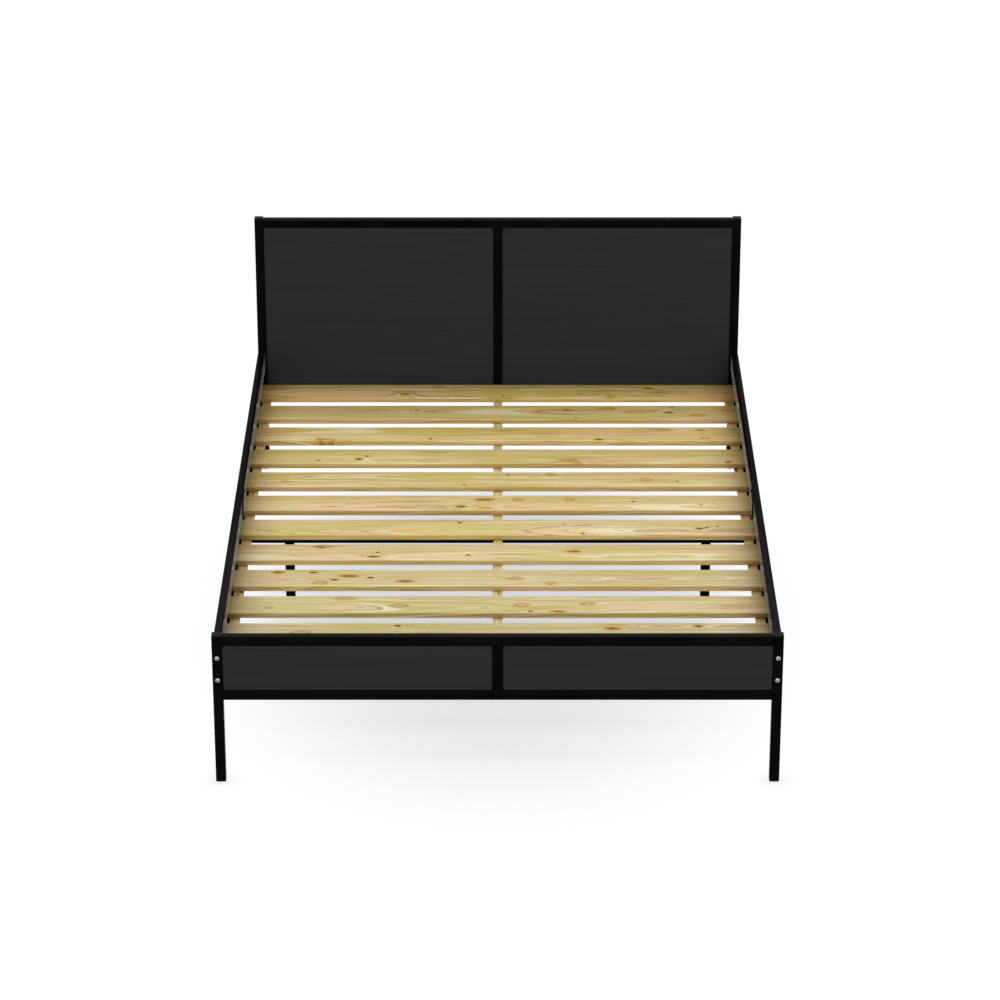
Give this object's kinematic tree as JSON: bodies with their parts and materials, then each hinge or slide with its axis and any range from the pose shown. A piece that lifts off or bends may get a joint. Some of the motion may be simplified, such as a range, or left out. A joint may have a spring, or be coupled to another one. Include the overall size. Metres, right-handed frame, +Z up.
{
  "type": "bed frame",
  "caption": "Double bed frame in black square steel tube: low footboard, tall headboard with dark panels, folded side rails, pine slats on battens, cross bar on two legs.",
  "frame": {"origin": "on the floor, under the centre of the bed", "axes": "+X across the bed to its right side seen from the foot end, +Y from the foot end to the head end, +Z up"},
  "size_m": [1.4, 1.9664, 0.786],
  "materials": {
    "black_paint": "satin",
    "dark_board": "matte",
    "pine": "matte",
    "black_plastic": "matte",
    "zinc_steel": "satin"
  },
  "bodies": {
    "root": {"headboard_post_left": "black_paint", "headboard_post_right": "black_paint", "headboard_top_rail": "black_paint", "headboard_bottom_rail": "black_paint", "headboard_mullion": "black_paint", "headboard_panel_left": "dark_board", "headboard_panel_right": "dark_board", "headboard_post_cap_left": "black_plastic", "headboard_post_cap_right": "black_plastic", "headboard_glide_left": "black_plastic", "headboard_glide_right": "black_plastic", "footboard_post_left": "black_paint", "footboard_post_right": "black_paint", "footboard_top_rail": "black_paint", "footboard_bottom_rail": "black_paint", "footboard_mullion": "black_paint", "footboard_panel_left": "dark_board", "footboard_panel_right": "dark_board", "footboard_post_cap_left": "black_plastic", "footboard_post_cap_right": "black_plastic", "footboard_glide_left": "black_plastic", "footboard_glide_right": "black_plastic", "side_rail_left": "black_paint", "side_rail_right": "black_paint", "rail_end_plate_foot_left": "black_paint", "rail_end_plate_foot_right": "black_paint", "rail_end_plate_head_left": "black_paint", "rail_end_plate_head_right": "black_paint", "corner_bolt_foot_left_upper": "zinc_steel", "corner_bolt_foot_left_lower": "zinc_steel", "corner_bolt_foot_right_upper": "zinc_steel", "corner_bolt_foot_right_lower": "zinc_steel", "corner_bolt_head_left_upper": "zinc_steel", "corner_bolt_head_left_lower": "zinc_steel", "corner_bolt_head_right_upper": "zinc_steel", "corner_bolt_head_right_lower": "zinc_steel", "cross_bar": "black_paint", "cross_bar_bracket_left": "black_paint", "cross_bar_bracket_right": "black_paint", "bracket_bolt_left": "zinc_steel", "bracket_bolt_right": "zinc_steel", "middle_leg_left": "black_paint", "middle_leg_right": "black_paint", "middle_leg_glide_left": "black_plastic", "middle_leg_glide_right": "black_plastic", "slat_01": "pine", "slat_02": "pine", "slat_03": "pine", "slat_04": "pine", "slat_05": "pine", "slat_06": "pine", "slat_07": "pine", "slat_08": "pine", "slat_09": "pine", "slat_10": "pine", "slat_11": "pine", "slat_12": "pine", "batten_left": "pine", "batten_centre": "pine", "batten_right": "pine"}
  },
  "joints": []
}
